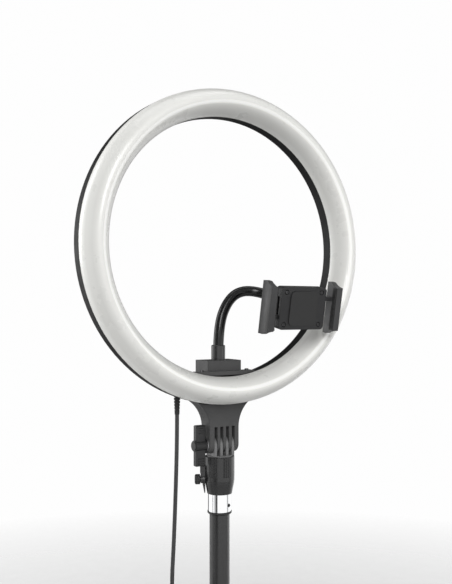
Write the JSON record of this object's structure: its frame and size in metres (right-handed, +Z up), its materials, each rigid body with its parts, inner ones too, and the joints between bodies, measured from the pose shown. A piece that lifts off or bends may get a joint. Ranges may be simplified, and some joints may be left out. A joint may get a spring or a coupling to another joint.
{
  "type": "ring light",
  "caption": "LED ring light on its pole top, with a tilting slotted neck, a gooseneck phone holder and a USB lead with an in-line controller",
  "frame": {"origin": "centre of the pole's lower end, on the pole's axis", "axes": "+Z up along the pole, -Y toward the side the light shines to, +X to the right seen from the lit side"},
  "size_m": [0.31, 0.084, 0.687],
  "materials": {
    "frosted_white": "frosted translucent white acrylic with a soft gloss",
    "housing_black": "fine-grained black plastic",
    "neck_plastic": "satin dark grey moulded plastic",
    "socket_plastic": "satin black moulded plastic",
    "knob_plastic": "satin black moulded plastic",
    "chrome": "polished chrome plating",
    "pole_paint": "smooth semi-gloss black paint",
    "gooseneck_skin": "smooth satin black sleeve",
    "holder_plastic": "matte black plastic",
    "jaw_plastic": "satin dark grey plastic",
    "soft_rubber": "soft black rubber",
    "bright_steel": "zinc-plated steel",
    "ball_steel": "polished steel",
    "nylon": "natural nylon",
    "board_white": "white solder mask on aluminium-backed board",
    "led_package": "phosphor-filled white package",
    "board_green": "green solder mask",
    "cord_skin": "smooth satin black PVC jacket",
    "key_grey": "grey silicone keys",
    "strap": "woven black hook-and-loop strap",
    "plug_metal": "nickel-plated shell"
  },
  "bodies": {
    "stand_pole": {"pole": "pole_paint", "rim_washer": "knob_plastic", "chrome_sleeve": "chrome", "grub_screw": "bright_steel"},
    "yoke": {"tilt_bracket": "socket_plastic", "fluted_socket": "socket_plastic", "cord_drop": "cord_skin", "control_front_shell": "housing_black", "control_back_shell": "housing_black", "control_board": "board_green", "control_reliefs": "soft_rubber", "cord_link": "cord_skin", "cord_hank": "cord_skin", "cord_tie": "strap", "cord_tail": "cord_skin", "plug_grip": "soft_rubber", "plug_shell": "plug_metal", "plug_tongue": "nylon"},
    "clamp_screw": {"thumb_screw": "knob_plastic"},
    "key_power": {"power_button": "key_grey"},
    "key_brighter": {"brighter_button": "key_grey"},
    "key_dimmer": {"dimmer_button": "key_grey"},
    "key_colour": {"colour_button": "key_grey"},
    "head": {"rear_housing": "housing_black", "diffuser": "frosted_white", "led_board": "board_white", "led_chips": "led_package", "board_screws": "bright_steel", "board_connector": "nylon", "cord_boss": "housing_black", "strain_relief": "soft_rubber", "neck_front_cover": "neck_plastic", "neck_rear_cover": "neck_plastic", "neck_screws": "bright_steel", "tilt_bolt": "bright_steel", "tilt_washer": "bright_steel", "holder_base": "neck_plastic", "base_screws": "bright_steel"},
    "knob": {"tilt_knob": "knob_plastic"},
    "neck_base": {"lower_ferrule": "pole_paint", "gooseneck_lower": "gooseneck_skin"},
    "neck_end": {"gooseneck_upper": "gooseneck_skin", "upper_ferrule": "pole_paint", "ball_stud": "ball_steel"},
    "cup": {"ball_seat": "nylon"},
    "holder": {"holder_back_shell": "holder_plastic", "holder_front_shell": "holder_plastic", "holder_pad": "soft_rubber", "holder_screws": "bright_steel", "return_spring": "bright_steel"},
    "nut": {"lock_nut": "holder_plastic"},
    "right_grip": {"right_jaw": "jaw_plastic", "right_jaw_pad": "soft_rubber"},
    "left_grip": {"left_jaw": "jaw_plastic", "left_jaw_pad": "soft_rubber"},
    "gear": {"pinion": "nylon"}
  },
  "joints": [
    {"name": "pan", "type": "hinge", "parent": "stand_pole", "child": "yoke", "pos_m": [0, 0, 0.12], "axis": [0, 0, 1], "continuous": true},
    {"name": "clamp_turn", "type": "hinge", "parent": "yoke", "child": "clamp_screw", "pos_m": [0, 0, 0.1195], "axis": [-0.9135, 0.4067, 0], "continuous": true},
    {"name": "head_tilt", "type": "hinge", "parent": "yoke", "child": "head", "pos_m": [0, -0.0015, 0.1545], "axis": [1, 0, 0], "range_deg": [-45, 45], "deforming": ["cord_drop"]},
    {"name": "knob_turn", "type": "hinge", "parent": "head", "child": "knob", "pos_m": [0, -0.0015, 0.1545], "axis": [1, 0, 0], "range_deg": [-170, 170]},
    {"name": "neck_swing", "type": "hinge", "parent": "head", "child": "neck_base", "pos_m": [0, 0.0027, 0.24], "axis": [0, 0, 1], "range_deg": [-90, 0]},
    {"name": "neck_bend", "type": "hinge", "parent": "neck_base", "child": "neck_end", "pos_m": [0.01995, 0.0066, 0.3014], "axis": [0, 1, 0], "range_deg": [-15, 8], "deforming": ["gooseneck_upper"]},
    {"name": "ball_tilt", "type": "hinge", "parent": "neck_end", "child": "cup", "pos_m": [0.0614, -0.03738, 0.29257], "axis": [1, 0, 0], "range_deg": [-12, 0]},
    {"name": "holder_roll", "type": "hinge", "parent": "cup", "child": "holder", "pos_m": [0.0614, -0.03738, 0.29257], "axis": [0, 0.982, 0.1891], "range_deg": [-12, 8]},
    {"name": "nut_turn", "type": "hinge", "parent": "holder", "child": "nut", "pos_m": [0.0614, -0.03738, 0.29257], "axis": [0, 0.982, 0.1891], "continuous": true},
    {"name": "left_jaw_slide", "type": "slide", "parent": "holder", "child": "left_grip", "axis": [-1, 0, 0], "range_m": [-0.0085, 0.005]},
    {"name": "right_jaw_slide", "type": "slide", "parent": "holder", "child": "right_grip", "axis": [1, 0, 0], "range_m": [-0.0085, 0.005]},
    {"name": "pinion_turn", "type": "hinge", "parent": "holder", "child": "gear", "pos_m": [0.0614, -0.058, 0.2886], "axis": [0, 0.982, 0.1891], "range_deg": [-82, 82]},
    {"name": "press_power", "type": "slide", "parent": "yoke", "child": "key_power", "axis": [0, 1, 0], "range_m": [0, 0.0005], "stiffness_N_per_m": 1500},
    {"name": "press_brighter", "type": "slide", "parent": "yoke", "child": "key_brighter", "axis": [0, 1, 0], "range_m": [0, 0.0005], "stiffness_N_per_m": 1500},
    {"name": "press_dimmer", "type": "slide", "parent": "yoke", "child": "key_dimmer", "axis": [0, 1, 0], "range_m": [0, 0.0005], "stiffness_N_per_m": 1500},
    {"name": "press_colour", "type": "slide", "parent": "yoke", "child": "key_colour", "axis": [0, 1, 0], "range_m": [0, 0.0005], "stiffness_N_per_m": 1500}
  ],
  "couplings": [
    {"joint": "right_jaw_slide", "follows": "left_jaw_slide", "ratio": 1},
    {"joint": "pinion_turn", "follows": "left_jaw_slide", "rad_per_m": 166.67}
  ]
}
